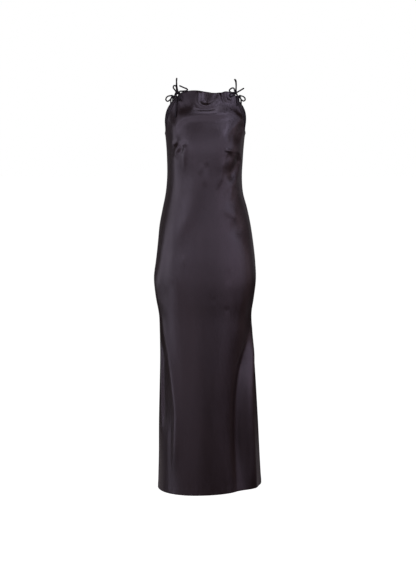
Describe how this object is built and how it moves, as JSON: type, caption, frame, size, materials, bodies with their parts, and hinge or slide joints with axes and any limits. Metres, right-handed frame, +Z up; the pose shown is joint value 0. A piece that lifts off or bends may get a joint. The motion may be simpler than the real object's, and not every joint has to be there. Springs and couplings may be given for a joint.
{
  "type": "slip dress",
  "caption": "Full-length satin slip dress with a high straight neck, cut-in armholes and thin cord shoulder straps tied in bows, in its hollow worn form.",
  "frame": {"origin": "midway between the crests of the two shoulder straps, where a wearer's shoulders carry the dress", "axes": "+Z up along the body, front facing -Y, the wearer's left at +X"},
  "size_m": [0.3563, 0.259, 1.3618],
  "materials": {
    "satin": "near-black aubergine satin with a soft sheen",
    "cord": "rolled cord of the same satin"
  },
  "bodies": {
    "root": {"front_panel": "satin", "back_panel": "satin", "front_neck_cord": "cord", "back_neck_cord": "cord", "left_armhole_cord": "cord", "right_armhole_cord": "cord", "left_strap": "cord", "right_strap": "cord", "left_front_knot": "cord", "left_front_loop_in": "cord", "left_front_loop_up": "cord", "left_front_tail_out": "cord", "left_front_tail_down": "cord", "right_front_knot": "cord", "right_front_loop_out": "cord", "right_front_loop_down": "cord", "right_front_tail_in": "cord", "right_front_tail_down": "cord", "left_back_knot": "cord", "left_back_loop_in": "cord", "left_back_loop_out": "cord", "left_back_tail_long": "cord", "left_back_tail_short": "cord", "right_back_knot": "cord", "right_back_loop_in": "cord", "right_back_loop_out": "cord", "right_back_tail_long": "cord", "right_back_tail_short": "cord"}
  },
  "joints": []
}
